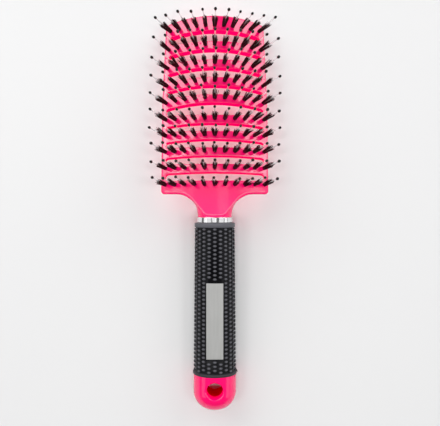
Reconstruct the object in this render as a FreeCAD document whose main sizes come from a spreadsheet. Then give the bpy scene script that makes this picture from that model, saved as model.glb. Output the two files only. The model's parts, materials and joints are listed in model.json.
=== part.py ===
"""Curved vented detangling brush with boar tufts, ball-tipped pins and a rubber grip.

Handle frame while modelling: Y runs along the handle from the hanging end to the top of
the head, Z points out of the bristle face, X runs across. At the end every piece is laid
on its back, bristles up, with the origin under the middle of the brush.
"""
import FreeCAD, Part
import math
import os
import re
import Sketcher
from FreeCAD import Placement, Rotation, Vector

# Driving dimensions, millimetres. Stations are distances along Y.
SIZES = {
    # End cap with the hanging hole
    "cap_length": 22.4,
    "cap_radius": 13.2,
    "cap_end_rounding": 11.5,
    "hang_hole_radius": 5.0,
    "hang_hole_station": 13.9,
    "hang_hole_edge": 0.8,
    "spigot_radius": 6.0,
    "spigot_length": 18.0,
    # Handle core and the clearances of its two sockets
    "core_radius": 10.0,
    "socket_clearance": 0.1,
    "socket_end_gap": 0.5,
    # Rubber grip sleeve
    "sleeve_length": 93.2,
    "sleeve_low_radius": 13.3,
    "sleeve_top_radius": 12.5,
    "sleeve_clearance": 0.05,
    "collar_length": 2.8,
    "rim_length": 1.8,
    "rim_flare": 0.3,
    # Knobs of the grip, in columns round the sleeve; every second column is set half a pitch higher
    "knob_columns": 22,
    "knobs_per_column": 35,
    "knob_height": 0.95,
    "knob_width": 2.6,
    "knob_foot_length": 1.9,
    "knob_top_length": 1.1,
    "knob_end_gap": 0.15,
    "knob_strip_height": 0.1,
    "knob_strip_depth": 0.9,
    # Bare plate on its pad in the grip
    "plate_width": 10.3,
    "plate_length": 46.0,
    "plate_thickness": 0.8,
    "plate_offset": 10.8,
    "plate_seat_height": 11.3,
    "plate_clearance": 0.1,
    "plate_corner": 0.6,
    "pad_margin": 0.55,
    "pad_lip": 0.25,
    "pad_depth": 1.0,
    # Bright ring under the neck
    "ring_length": 3.4,
    "ring_radius": 11.0,
    "ring_edge": 0.8,
    # Neck, and the tang that holds the head in the core
    "neck_radius": 10.6,
    "neck_collar_length": 1.0,
    "tang_radius": 6.5,
    "tang_length": 40.0,
    # Funnel from the round neck to the head: station from the neck face, half width,
    # half depth and height of the middle of each oval section
    "throat_offset": 5.4,
    "throat_half_width": 11.3,
    "throat_half_depth": 10.3,
    "throat_height": 0.4,
    "flare_offset": 8.2,
    "flare_half_width": 12.6,
    "flare_half_depth": 9.6,
    "flare_height": 1.4,
    "spread_offset": 12.4,
    "spread_half_width": 17.4,
    "spread_half_depth": 7.4,
    "spread_height": 2.8,
    "root_offset": 16.4,
    "root_half_width": 27.0,
    "root_half_depth": 5.0,
    "root_height": 3.4,
    # Head plate: outline in plan, then crown and bend of its front surface
    "head_length": 129.65,
    "head_width": 66.9,
    "head_top_width": 64.0,
    "head_taper_offset": 71.0,
    "head_top_radius": 102.0,
    "head_top_corner": 3.0,
    "shoulder_offset": 14.1,
    "shoulder_corner": 2.3,
    "head_thickness": 5.0,
    "crown_radius": 72.0,
    "bend_radius": 590.0,
    "bend_before_neck": 47.2,
    "front_at_neck": 8.4,
    # Rows of tufts, counted from the shoulders to the top. The pitches are as measured; they
    # spread with the length between the first and the top row
    "lower_rows": 5,
    "upper_rows": 5,
    "tufts_per_row": 11,
    "first_row_offset": 6.0,
    "top_row_offset": 7.31,
    "lower_pitch": 10.24,
    "crescent_pitch": 13.2,
    "upper_pitch": 11.15,
    "upper_pitch_gain": 0.58,
    "upper_row_arch": 2.4,
    "low_row_span": 61.5,
    "top_row_span": 57.0,
    # Bars left around each row, and the vents between them
    "bar_above": 2.4,
    "lower_bar_below": 2.9,
    "upper_bar_below": 3.05,
    "vent_end_inset": 0.3,
    "vent_corner": 1.6,
    # One tuft: its hole, bristles, pin, ball tip and anchor
    "hole_radius": 1.5,
    "hole_depth": 3.6,
    "tuft_clearance": 0.05,
    "tuft_height": 11.0,
    "tuft_flare": 0.3,
    "pin_radius": 0.45,
    "pin_height": 19.4,
    "pin_clearance": 0.03,
    "ball_radius": 0.8,
    "anchor_height": 0.9,
    "anchor_thickness": 0.45,
    "anchor_clearance": 0.05,
}

FULL_TURN = 360
QUARTER_TURN = 90
LYING_LIMIT = 15.0
LYING_STEPS = 40
LYING_FACETS = 0.05
ORIGIN = -1
POINT, END, CENTRE = 1, 2, 3
EDGE_SAMPLES = 5
ACROSS_AXIS, ALONG_AXIS = -1, -2
NEAR = 1e-6

X_AXIS = Vector(1, 0, 0)
Y_AXIS = Vector(0, 1, 0)
Z_AXIS = Vector(0, 0, 1)

doc = FreeCAD.newDocument("detangling_brush")
sheet = doc.addObject("Spreadsheet::Sheet", "Sizes")
for line, (alias, number) in enumerate(SIZES.items(), start=1):
    sheet.set("A%d" % line, alias)
    sheet.set("B%d" % line, str(number))
    sheet.setAlias("B%d" % line, alias)
doc.recompute()


def linked(text):
    """Formula with every size name pointing at its cell."""
    return re.sub(r"[a-z_]+", lambda word: ("Sizes." if word[0] in SIZES else "") + word[0], text)


def bind(piece, **formulas):
    """Bind properties of a piece to formulas of sizes; a double underscore stands for a dot."""
    for name, text in formulas.items():
        piece.setExpression(name.replace("__", "."), linked(text))
    return piece


def value(text):
    """Number that a formula of sizes gives."""
    return float(sheet.evalExpression(linked(text)))


# Stations along the handle that several pieces share
CORE_TOP = "cap_length + sleeve_length"
NECK = CORE_TOP + " + ring_length"
SHOULDER = NECK + " + shoulder_offset"
HEAD_TOP = NECK + " + head_length"
BEND_STATION = NECK + " - bend_before_neck"
BEND_HEIGHT = "front_at_neck - sqrt(bend_radius ^ 2 - bend_before_neck ^ 2)"


def origin_plane(body, role):
    """One of a body's own base planes."""
    return next(feature for feature in body.Origin.OriginFeatures if feature.Role == role)


def sketch_on(body, name, height="0"):
    """Sketch on a body's XY plane, raised along Z by a formula."""
    sketch = body.newObject("Sketcher::SketchObject", name)
    sketch.AttachmentSupport = [(origin_plane(body, "XY_Plane"), "")]
    sketch.MapMode = "FlatFace"
    if height != "0":
        bind(sketch, AttachmentOffset__Base__z=height)
    return sketch


def pin_down(sketch, place, corner, axis, text):
    """Hold one coordinate of a corner at a formula, measured from the sketch's origin."""
    if text == "0":
        on_axis = ALONG_AXIS if axis == "X" else ACROSS_AXIS
        sketch.addConstraint(Sketcher.Constraint("PointOnObject", place, POINT, on_axis))
        return
    ends = (ORIGIN, POINT, place, POINT)
    if text.startswith("-"):
        text = text[1:]
        ends = (place, POINT, ORIGIN, POINT)
    sketch.addConstraint(Sketcher.Constraint("Distance" + axis, *ends, value(text)))
    name = "%s_of_corner_%d" % (axis.lower(), corner)
    sketch.renameConstraint(sketch.ConstraintCount - 1, name)
    sketch.setExpression("Constraints." + name, linked(text))


def draw_outline(sketch, corners):
    """Closed outline through corners given as pairs of formulas."""
    signed = [[value("0 " + text) if text.startswith("-") else value(text) for text in pair]
              for pair in corners]
    points = [Vector(across, along, 0) for across, along in signed]
    count = len(points)
    sides = [sketch.addGeometry(Part.LineSegment(points[n], points[(n + 1) % count]))
             for n in range(count)]
    for n in range(count):
        sketch.addConstraint(Sketcher.Constraint("Coincident", sides[n - 1], END, sides[n], POINT))
    for n, (across, along) in enumerate(corners):
        pin_down(sketch, sides[n], n, "X", across)
        pin_down(sketch, sides[n], n, "Y", along)


def turned_body(name, corners):
    """Body turned about the handle axis from corners given as radius and station."""
    body = doc.addObject("PartDesign::Body", name)
    sketch = sketch_on(body, name + "_profile")
    draw_outline(sketch, corners)
    turned = body.newObject("PartDesign::Revolution", name + "_turned")
    turned.Profile = sketch
    turned.ReferenceAxis = (sketch, ["V_Axis"])
    turned.Angle = FULL_TURN
    doc.recompute()
    return body


def edges_where(shape, test):
    """Names of the edges whose middle and ends all pass a test."""
    names = []
    for number, edge in enumerate(shape.Edges, start=1):
        if all(test(point) for point in edge.discretize(EDGE_SAMPLES)):
            names.append("Edge%d" % number)
    return names


def rounded(body, name, radius, test):
    """Fillet on the edges of a body's last feature that pass a test."""
    base = body.Tip
    fillet = body.newObject("PartDesign::Fillet", name)
    fillet.Base = (base, edges_where(base.Shape, test))
    bind(fillet, Radius=radius)
    doc.recompute()
    return fillet


def near(number, text):
    """Whether a number equals a formula of sizes."""
    return abs(number - value(text)) < NEAR


def off_axis(point):
    """Distance of a point from the handle axis."""
    return math.hypot(point.x, point.z)


def make_end_cap():
    """Rounded cap, its spigot and the hanging hole through it."""
    spigot_end = "cap_length + spigot_length"
    cap = turned_body("end_cap", [
        ("0", "0"),
        ("cap_radius", "0"),
        ("cap_radius", "cap_length"),
        ("spigot_radius", "cap_length"),
        ("spigot_radius", spigot_end),
        ("0", spigot_end),
    ])
    rounded(cap, "cap_end_round", "cap_end_rounding", lambda p: near(p.y, "0"))
    sketch = sketch_on(cap, "hang_hole_circle", "cap_radius")
    centre = Vector(0, value("hang_hole_station"), 0)
    circle = sketch.addGeometry(Part.Circle(centre, Z_AXIS, value("hang_hole_radius")))
    sketch.addConstraint(Sketcher.Constraint("PointOnObject", circle, CENTRE, ALONG_AXIS))
    for kind, ends, text in (("DistanceY", (ORIGIN, POINT, circle, CENTRE), "hang_hole_station"),
                             ("Radius", (circle,), "hang_hole_radius")):
        sketch.addConstraint(Sketcher.Constraint(kind, *ends, value(text)))
        sketch.renameConstraint(sketch.ConstraintCount - 1, text)
        sketch.setExpression("Constraints." + text, linked(text))
    hole = cap.newObject("PartDesign::Pocket", "hang_hole")
    hole.Profile = sketch
    hole.Type = "ThroughAll"
    doc.recompute()
    rounded(cap, "hang_hole_round", "hang_hole_edge",
            lambda p: near(math.hypot(p.x, p.y - value("hang_hole_station")), "hang_hole_radius")
            and abs(p.z) > value("spigot_radius"))
    return cap


def make_handle_core():
    """Core tube with a socket for the cap's spigot and one for the head's tang."""
    spigot_socket = "spigot_radius + socket_clearance"
    tang_socket = "tang_radius + socket_clearance"
    spigot_floor = "cap_length + spigot_length + socket_end_gap"
    tang_floor = NECK + " - tang_length - socket_end_gap"
    return turned_body("handle_core", [
        (spigot_socket, "cap_length"),
        ("core_radius", "cap_length"),
        ("core_radius", CORE_TOP),
        (tang_socket, CORE_TOP),
        (tang_socket, tang_floor),
        ("0", tang_floor),
        ("0", spigot_floor),
        (spigot_socket, spigot_floor),
    ])


RIM_END = "cap_length + rim_length"
COLLAR_START = CORE_TOP + " - collar_length"
LOW_ROOT = "sleeve_low_radius - knob_height"
TOP_ROOT = "sleeve_top_radius - knob_height"
PLATE_FOOT = "cap_length + plate_offset"
PLATE_END = PLATE_FOOT + " + plate_length"


def knob_columns():
    """Angle round the sleeve and stations of each column of knobs, broken off at the plate's pad."""
    columns, knobs = round(value("knob_columns")), round(value("knobs_per_column"))
    end = value("knob_end_gap + knob_foot_length / 2")
    first, last = value(RIM_END) + end, value(COLLAR_START) - end
    pitch = (last - first) / (knobs - 0.5)
    pad_half = value("plate_width / 2 + pad_margin")
    reach = end + value("pad_margin")
    pad_foot, pad_end = value(PLATE_FOOT) - reach, value(PLATE_END) + reach
    for column in range(columns):
        angle = math.tau * column / columns
        start = first if column % 2 else first + pitch / 2
        stations = [start + pitch * n for n in range(knobs)]
        inner_edge = value("sleeve_low_radius") * abs(math.sin(angle)) - value("knob_width") / 2
        if math.cos(angle) > 0 and inner_edge < pad_half:
            yield angle, [station for station in stations if station < pad_foot]
            yield angle, [station for station in stations if station > pad_end]
        else:
            yield angle, stations


def knob_strip(angle, stations):
    """Toothed strip that carries one run of knobs, rooted in the sleeve's wall."""
    start, end = value(RIM_END), value(COLLAR_START)
    low, high = value(LOW_ROOT), value(TOP_ROOT)
    width = value("knob_width")
    foot, top = value("knob_foot_length / 2"), value("knob_top_length / 2")
    strip, height, depth = value("knob_strip_height"), value("knob_height"), value("knob_strip_depth")

    def over_root(station, rise):
        root = low + (high - low) * (station - start) / (end - start)
        return Vector(-width / 2, station, root + rise)

    profile = [over_root(stations[0] - foot, -depth)]
    for station in stations:
        profile += [over_root(station - foot, strip), over_root(station - top, height),
                    over_root(station + top, height), over_root(station + foot, strip)]
    profile.append(over_root(stations[-1] + foot, -depth))
    solid = Part.Face(Part.makePolygon(profile + profile[:1])).extrude(X_AXIS * width)
    solid.rotate(Vector(), Y_AXIS, math.degrees(angle))
    return solid


def make_grip_sleeve():
    """Knobbed rubber sleeve with a plain collar, a flared rim and a framed seat for the plate."""
    bore = "core_radius + sleeve_clearance"
    rim_radius = "sleeve_low_radius + rim_flare"
    tube = turned_body("sleeve_tube", [
        (bore, "cap_length"),
        (rim_radius, "cap_length"),
        (rim_radius, RIM_END),
        (LOW_ROOT, RIM_END),
        (TOP_ROOT, COLLAR_START),
        ("sleeve_top_radius", COLLAR_START),
        ("sleeve_top_radius", CORE_TOP),
        (bore, CORE_TOP),
    ])
    strips = doc.addObject("Part::Feature", "knob_strips")
    strips.Shape = Part.makeCompound([knob_strip(*column) for column in knob_columns()])
    pad = plate_box("plate_pad", "pad_margin", "plate_seat_height - pad_depth", "pad_depth + pad_lip")
    seat = plate_box("plate_seat", "plate_clearance", "plate_seat_height", "sleeve_low_radius")
    rough = doc.addObject("Part::MultiFuse", "sleeve_rough")
    rough.Shapes = [tube, strips, pad]
    return boolean("Cut", "grip_sleeve", rough, seat)


def plate_box(name, margin, foot, height):
    """Box over the plate's outline, larger by a margin."""
    box = doc.addObject("Part::Box", name)
    return bind(box, Length="plate_width + 2 * " + margin, Width="plate_length + 2 * " + margin,
                Height=height, Placement__Base__x="-plate_width / 2 - " + margin,
                Placement__Base__y=PLATE_FOOT + " - " + margin, Placement__Base__z=foot)


def make_name_plate():
    """Bare rectangular plate with small corner radii."""
    blank = doc.addObject("Part::Box", "plate_blank")
    bind(blank, Length="plate_width", Width="plate_length", Height="plate_thickness",
         Placement__Base__x="-plate_width / 2", Placement__Base__y=PLATE_FOOT,
         Placement__Base__z="plate_seat_height")
    doc.recompute()
    plate = doc.addObject("Part::Fillet", "name_plate")
    plate.Base = blank
    corner = value("plate_corner")
    plate.Edges = [(number, corner, corner) for number, edge in enumerate(blank.Shape.Edges, start=1)
                   if edge.tangentAt(edge.FirstParameter).cross(Z_AXIS).Length < NEAR]
    return plate


def make_neck_ring():
    """Bright ring round the tang, with both outer edges rounded."""
    bore = "tang_radius + socket_clearance"
    ring = turned_body("neck_ring", [
        (bore, CORE_TOP), ("ring_radius", CORE_TOP), ("ring_radius", NECK), (bore, NECK)])
    rounded(ring, "ring_round", "ring_edge", lambda p: near(off_axis(p), "ring_radius")
            and (near(p.y, CORE_TOP) or near(p.y, NECK)))
    return ring


def front_surface(across, station):
    """Point of the head's front surface over a plan position, and its outward normal."""
    crown = value("crown_radius")
    reach = value("bend_radius") - crown + math.sqrt(crown ** 2 - across ** 2)
    beyond = station - value(BEND_STATION)
    point = Vector(across, station, value(BEND_HEIGHT) + math.sqrt(reach ** 2 - beyond ** 2))
    lean = across / crown
    upright = math.sqrt(1 - lean ** 2)
    tilt = math.asin(beyond / reach)
    return point, Vector(lean, upright * math.sin(tilt), upright * math.cos(tilt))


class Row:
    """One row of tufts: its station on the centre line, bar edges, arch and span.

    Climb is 0 up to the last straight row and 1 at the top row."""

    def __init__(self, number, station, spread, climb):
        self.number = number
        self.station = station
        below = "upper_bar_below" if climb else "lower_bar_below"
        self.bar_top = station + value("bar_above") * spread
        self.bar_foot = station - value(below) * spread
        self.arch = value("upper_row_arch") if climb else 0.0
        self.span = value("low_row_span") - value("low_row_span - top_row_span") * climb ** 2

    def seats(self):
        """Placement of each tuft: on the front surface, pointing along its normal."""
        count = round(value("tufts_per_row"))
        for n in range(count):
            across = self.span * (n / (count - 1) - 0.5)
            drop = self.arch * (2 * across / self.span) ** 2
            point, normal = front_surface(across, self.station - drop)
            yield Placement(point, Rotation(Z_AXIS, normal))


def lay_out_rows():
    """Rows from the shoulders to the top, spread over the head's length; row 1 is at the top."""
    lower, upper = round(value("lower_rows")), round(value("upper_rows"))
    steps = [value("lower_pitch")] * (lower - 1) + [value("crescent_pitch")]
    steps += [value("upper_pitch") + value("upper_pitch_gain") * n for n in range(upper - 1)]
    station = value(SHOULDER) + value("first_row_offset")
    spread = (value(HEAD_TOP) - value("top_row_offset") - station) / sum(steps)
    rows = []
    for n, step in enumerate(steps + [0.0]):
        climb = max(0, n + 1 - lower) / upper
        rows.append(Row(lower + upper - n, station, spread, climb))
        station += step * spread
    return rows


def bowed_edge(start, bow, end):
    """Arc through three points, or a straight edge where they are in line."""
    if (bow - start).cross(end - start).Length < NEAR:
        return Part.makeLine(start, end)
    return Part.Arc(start, bow, end).toShape()


def vent_cutter(below, above):
    """Cutter for the vent between two rows, pushed along the front surface's normal."""
    half = (below.span + above.span) / 4 - value("vent_end_inset")
    low, high = below.bar_top, above.bar_foot
    middle, normal = front_surface(0, (low + high) / 2)
    slope = normal.y / normal.z
    side_drop = (middle.z - front_surface(half, middle.y)[0].z) * slope

    def corner(row, side, station):
        bend = side_drop - row.arch * (2 * half / row.span) ** 2 if side else 0.0
        return Vector(side * half, station + bend, middle.z)

    low_left, low_bow, low_right = [corner(below, side, low) for side in (-1, 0, 1)]
    high_left, high_bow, high_right = [corner(above, side, high) for side in (-1, 0, 1)]
    outline = Part.Wire([
        bowed_edge(low_left, low_bow, low_right),
        Part.makeLine(low_right, high_right),
        bowed_edge(high_right, high_bow, high_left),
        Part.makeLine(high_left, low_left),
    ])
    depth = value("head_width") / 2
    face = Part.Face(outline)
    face.translate(-normal * depth)
    block = face.extrude(normal * 2 * depth)
    upright = [edge for edge in block.Edges
               if edge.tangentAt(edge.FirstParameter).cross(normal).Length < NEAR]
    return block.makeFillet(value("vent_corner"), upright)


def hole_cutter(seat):
    """Cutter for one blind tuft hole, open above the front surface."""
    depth = value("hole_depth")
    cutter = Part.makeCylinder(value("hole_radius"), 2 * depth, -Z_AXIS * depth)
    cutter.Placement = seat
    return cutter


def boolean(kind, name, base, tool):
    """Part boolean of two objects."""
    result = doc.addObject("Part::" + kind, name)
    result.Base = base
    result.Tool = tool
    return result


def bent_tube(name, radius):
    """Ring-shaped tube whose outer side is the head's bent and crowned surface."""
    tube = doc.addObject("Part::Torus", name)
    tube.Placement.Rotation = Rotation(Y_AXIS, QUARTER_TURN)
    return bind(tube, Radius1="bend_radius - crown_radius", Radius2=radius,
                Placement__Base__y=BEND_STATION, Placement__Base__z=BEND_HEIGHT)


def make_outline_block():
    """Plan outline of the head as an upright block, cut to the arched top."""
    sketch = doc.addObject("Sketcher::SketchObject", "head_plan")
    half, top_half = "head_width / 2", "head_top_width / 2"
    taper = NECK + " + head_taper_offset"
    left, top_left = "-(%s)" % half, "-(%s)" % top_half
    draw_outline(sketch, [(half, SHOULDER), (half, taper), (top_half, HEAD_TOP),
                          (top_left, HEAD_TOP), (left, taper), (left, SHOULDER)])
    block = doc.addObject("Part::Extrusion", "head_block")
    block.Base = sketch
    block.Solid = True
    block.Dir = Z_AXIS
    bind(block, LengthFwd="crown_radius", LengthRev="crown_radius")
    arch = doc.addObject("Part::Cylinder", "head_top_arch")
    bind(arch, Radius="head_top_radius", Height="2 * crown_radius",
         Placement__Base__y=HEAD_TOP + " - head_top_radius", Placement__Base__z="-crown_radius")
    arched = boolean("Common", "head_arched_block", block, arch)
    doc.recompute()
    rounds = doc.addObject("Part::Fillet", "head_outline_block")
    rounds.Base = arched
    radii = []
    for number, edge in enumerate(arched.Shape.Edges, start=1):
        start = edge.Vertexes[0].Point
        upright = edge.tangentAt(edge.FirstParameter).cross(Z_AXIS).Length < NEAR
        if upright and near(start.y, SHOULDER):
            radii.append((number, value("shoulder_corner"), value("shoulder_corner")))
        elif upright and abs(start.x) > NEAR and start.y > value(taper) + NEAR:
            radii.append((number, value("head_top_corner"), value("head_top_corner")))
    rounds.Edges = radii
    return rounds


def make_funnel():
    """Loft through oval sections from the round neck into the head plate."""
    sections = [("neck", "neck_collar_length", "neck_radius", "neck_radius", "0")]
    sections += [(part, part + "_offset", part + "_half_width", part + "_half_depth", part + "_height")
                 for part in ("throat", "flare", "spread", "root")]
    ovals = []
    for part, offset, half_width, half_depth, height in sections:
        oval = doc.addObject("Part::Ellipse", part + "_section")
        oval.Placement.Rotation = Rotation(X_AXIS, QUARTER_TURN)
        bind(oval, MajorRadius=half_width, MinorRadius=half_depth,
             Placement__Base__y=NECK + " + " + offset, Placement__Base__z=height)
        ovals.append(oval)
    funnel = doc.addObject("Part::Loft", "neck_funnel")
    funnel.Sections = ovals
    funnel.Solid = True
    return funnel


def handle_cylinder(name, radius, start, length):
    """Cylinder along the handle axis."""
    cylinder = doc.addObject("Part::Cylinder", name)
    cylinder.Placement.Rotation = Rotation(X_AXIS, -QUARTER_TURN)
    return bind(cylinder, Radius=radius, Height=length, Placement__Base__y=start)


def make_head_frame(rows):
    """Head moulding: vented plate, shoulders, funnel neck and tang in one piece."""
    shell = boolean("Cut", "head_shell", make_outline_block(),
                    bent_tube("head_back", "crown_radius - head_thickness"))
    rough = boolean("Fuse", "head_rough", shell, make_funnel())
    faced = boolean("Common", "head_faced", rough, bent_tube("head_front", "crown_radius"))
    collar = handle_cylinder("neck_collar", "neck_radius", NECK, "neck_collar_length")
    tang = handle_cylinder("neck_tang", "tang_radius", NECK + " - tang_length",
                           "tang_length + neck_collar_length")
    stem = boolean("Fuse", "neck_stem", collar, tang)
    blank = boolean("Fuse", "head_blank", faced, stem)
    cutters = doc.addObject("Part::Feature", "vent_and_hole_cutters")
    vents = [vent_cutter(below, above) for below, above in zip(rows, rows[1:])]
    holes = [hole_cutter(seat) for row in rows for seat in row.seats()]
    cutters.Shape = Part.makeCompound(vents + holes)
    return boolean("Cut", "head_frame", blank, cutters)


def upright(kind, name, base, **formulas):
    """Primitive standing on the tuft's own axis, from a height relative to the head's face."""
    return bind(doc.addObject("Part::" + kind, name), Placement__Base__z=base, **formulas)


def make_patterns():
    """One of each tuft piece on its own axis: bristles, pin, ball tip and anchor."""
    floor = "-hole_depth"
    foot = "anchor_height - hole_depth"
    root_radius = "hole_radius - tuft_clearance"
    tuft_root = upright("Cylinder", "tuft_root", foot, Radius=root_radius,
                        Height="hole_depth - anchor_height")
    tuft_brush = upright("Cone", "tuft_brush", "0", Radius1=root_radius,
                         Radius2=root_radius + " + tuft_flare", Height="tuft_height")
    tuft_bore = upright("Cylinder", "tuft_bore", floor, Radius="pin_radius + pin_clearance",
                        Height="hole_depth + 2 * tuft_height")
    tuft_solid = boolean("Fuse", "tuft_solid", tuft_root, tuft_brush)
    tuft = boolean("Cut", "tuft_pattern", tuft_solid, tuft_bore)
    pin = upright("Cylinder", "pin_pattern", foot, Radius="pin_radius",
                  Height="hole_depth - anchor_height + pin_height")
    ball = upright("Sphere", "ball_solid", "pin_height", Radius="ball_radius")
    ball_bore = upright("Cylinder", "ball_bore", "pin_height - 2 * ball_radius",
                        Radius="pin_radius + pin_clearance", Height="2 * ball_radius")
    tip = boolean("Cut", "tip_pattern", ball, ball_bore)
    length = "2 * (hole_radius - anchor_clearance - anchor_thickness)"
    anchor = upright("Box", "anchor_pattern", floor, Length=length, Width="anchor_thickness",
                     Height="anchor_height", Placement__Base__x="-%s / 2" % length,
                     Placement__Base__y="-anchor_thickness / 2")
    doc.recompute()
    return {"bristle_tufts": tuft, "detangling_pins": pin, "pin_ball_tips": tip, "tuft_anchors": anchor}


def make_row_pieces(rows):
    """Each row's tufts, pins, tips and anchors, every piece a separate solid."""
    pieces = []
    for kind, pattern in make_patterns().items():
        for row in reversed(rows):
            copies = []
            for seat in row.seats():
                copy = pattern.Shape.copy()
                copy.Placement = seat.multiply(copy.Placement)
                copies.append(copy)
            piece = doc.addObject("Part::Feature", "%s_row_%02d" % (kind, row.number))
            piece.Shape = Part.makeCompound(copies)
            pieces.append(piece)
    return pieces


def lying_placement(cap, head, pieces):
    """Turn and shift that lay the brush on its back, on the cap and the head's corners."""
    cap_points, head_points = [piece.Shape.tessellate(LYING_FACETS)[0] for piece in (cap, head)]

    def low_side(points, turn):
        return min(p.y * math.sin(turn) + p.z * math.cos(turn) for p in points)

    flat, steep = 0.0, math.radians(LYING_LIMIT)
    for _ in range(LYING_STEPS):
        turn = (flat + steep) / 2
        if low_side(cap_points, turn) > low_side(head_points, turn):
            flat = turn
        else:
            steep = turn
    turned = Placement(Vector(), Rotation(X_AXIS, math.degrees(turn)))
    box = FreeCAD.BoundBox()
    for piece in pieces:
        shape = piece.Shape.copy()
        shape.Placement = turned.multiply(shape.Placement)
        box.add(shape.optimalBoundingBox(False, False))
    print("lying angle %.3f degrees" % math.degrees(turn), "box", box)
    shift = Vector(-box.Center.x, -box.Center.y, -box.ZMin)
    return Placement(shift, turned.Rotation)


rows = lay_out_rows()
cap = make_end_cap()
head = make_head_frame(rows)
parts = [head, make_neck_ring(), make_handle_core(), make_grip_sleeve(), make_name_plate(), cap]
parts += make_row_pieces(rows)
doc.recompute()
for item in doc.Objects:
    if "Invalid" in item.State or "Error" in item.State:
        raise RuntimeError("%s did not build: %s" % (item.Label, item.State))
for part in parts:
    if part.Shape.isNull() or not part.Shape.isValid() or not part.Shape.Solids:
        raise RuntimeError("%s has no valid solid" % part.Label)

lying = lying_placement(cap, doc.getObject("head_blank"), parts)
for part in parts:
    part.Placement = lying.multiply(part.Placement)

os.makedirs("parts", exist_ok=True)
for part in parts:
    part.Shape.exportStep("parts/%s.step" % part.Label)
    print("%-28s %3d solids %10.2f mm3" % (part.Label, len(part.Shape.Solids), part.Shape.Volume))
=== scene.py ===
import json
import math

import bpy
import bmesh
import numpy as np
from mathutils import Matrix, Vector
from mathutils.geometry import delaunay_2d_cdt


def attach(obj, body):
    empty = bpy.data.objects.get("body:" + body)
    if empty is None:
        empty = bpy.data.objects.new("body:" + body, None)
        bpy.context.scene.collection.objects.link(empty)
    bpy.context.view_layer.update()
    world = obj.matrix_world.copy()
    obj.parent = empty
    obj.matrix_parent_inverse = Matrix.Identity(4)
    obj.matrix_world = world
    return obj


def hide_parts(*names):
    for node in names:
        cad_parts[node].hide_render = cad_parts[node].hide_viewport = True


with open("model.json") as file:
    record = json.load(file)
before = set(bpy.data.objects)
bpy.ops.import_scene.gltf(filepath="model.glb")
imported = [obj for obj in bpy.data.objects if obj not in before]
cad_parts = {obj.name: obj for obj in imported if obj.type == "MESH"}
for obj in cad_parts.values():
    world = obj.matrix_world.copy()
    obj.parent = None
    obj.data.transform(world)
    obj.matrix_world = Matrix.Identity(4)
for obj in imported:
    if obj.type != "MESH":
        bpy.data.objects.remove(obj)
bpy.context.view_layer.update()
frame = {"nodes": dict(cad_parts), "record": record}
scene = bpy.context.scene

# The brush is drawn in its own handle frame, in millimetres: Y runs from the hanging end to the
# head's top, Z points out of the bristle face and X across. LAY lays that frame on the floor, in
# metres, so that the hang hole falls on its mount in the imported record.
MM = 0.001
HOLE_STATION = 13.9
hang_hole = frame["record"]["mounts"][0]
lying_turn = math.atan2(-hang_hole["axis"][1], hang_hole["axis"][2])
LAY = (Matrix.Translation(hang_hole["pos_m"]) @ Matrix.Rotation(lying_turn, 4, "X")
       @ Matrix.Scale(MM, 4) @ Matrix.Translation((0, -HOLE_STATION, 0)))

# Stations along the handle
SLEEVE_FOOT = 22.4
SLEEVE_TOP = 115.6
NECK = 119.0
SHOULDER = 133.1
HEAD_TOP = 248.65

# Head plate: a bar of a torus, crowned across and bent back along its length
HEAD_HALF_WIDTH = 33.45
HEAD_TOP_HALF_WIDTH = 32.0
TAPER_STATION = 190.0
TOP_ARCH_RADIUS = 102.0
TOP_CORNER = 3.0
SHOULDER_CORNER = 2.3
HEAD_THICKNESS = 5.0
CROWN_RADIUS = 72.0
BEND_RADIUS = 590.0
BEND_STATION = 71.8
FRONT_AT_NECK = 8.4
BEND_HEIGHT = FRONT_AT_NECK - math.sqrt(BEND_RADIUS ** 2 - (NECK - BEND_STATION) ** 2)
OUTLINE_ROUNDING = 1.1
VENT_ROUNDING = 0.3
VENT_CORNER = 1.6

# Rows of tufts, from the shoulders up
LOWER_ROWS = 5
ROW_COUNT = 10
TUFTS_PER_ROW = 11
FIRST_ROW = 139.1
LOWER_PITCH = 10.24
CRESCENT_PITCH = 13.2
UPPER_PITCH = 11.15
UPPER_PITCH_GAIN = 0.58
UPPER_ROW_ARCH = 2.4
LOW_ROW_SPAN, TOP_ROW_SPAN = 61.5, 57.0
VENT_END_INSET = 0.3
BAR_ABOVE = 2.4
LOWER_BAR_BELOW, UPPER_BAR_BELOW = 2.9, 3.05
FIRST_FOOT_ARCH, FOOT_ARCH_GAIN, UPPER_FOOT_ARCH = 1.0, 0.32, 1.2

# Neck: half widths of the funnel's side line, from the ring to the shoulder line
NECK_LINE = [(10.5, 119.0), (10.6, 120.5), (11.0, 123.4), (11.6, 125.3), (12.6, 127.2),
             (14.7, 129.6), (17.4, 131.4), (20.0, 132.6), (23.0, 133.05), (28.5, 133.1)]
FUNNEL_STATIONS = [119.0, 120.0, 124.4, 127.2, 131.4, 133.1]
FUNNEL_HALF_DEPTHS = [10.6, 10.6, 10.3, 9.6, 7.4, 6.4]
FUNNEL_HEIGHTS = [0.0, 0.0, 0.4, 1.4, 2.8, 3.0]
FUNNEL_SQUARENESS = [2.0, 2.0, 2.05, 2.2, 2.6, 3.0]
FUNNEL_CREASE = 0.35

# Beaded edge of the shield that the head's face draws down the funnel, right half from the ring up
SHIELD_LINE = [(0.0, 120.5), (4.5, 120.8), (6.6, 122.0), (8.1, 123.8), (10.4, 126.4), (12.4, 129.0),
               (14.7, 131.5), (18.8, 133.9), (24.0, 134.5), (30.8, 134.7)]
SHIELD_HALF_WIDTH = 0.36
SHIELD_HEIGHT = 0.15
# Painted highlight along the shield's bead
SHIELD_HIGHLIGHT = 0.45

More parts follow.
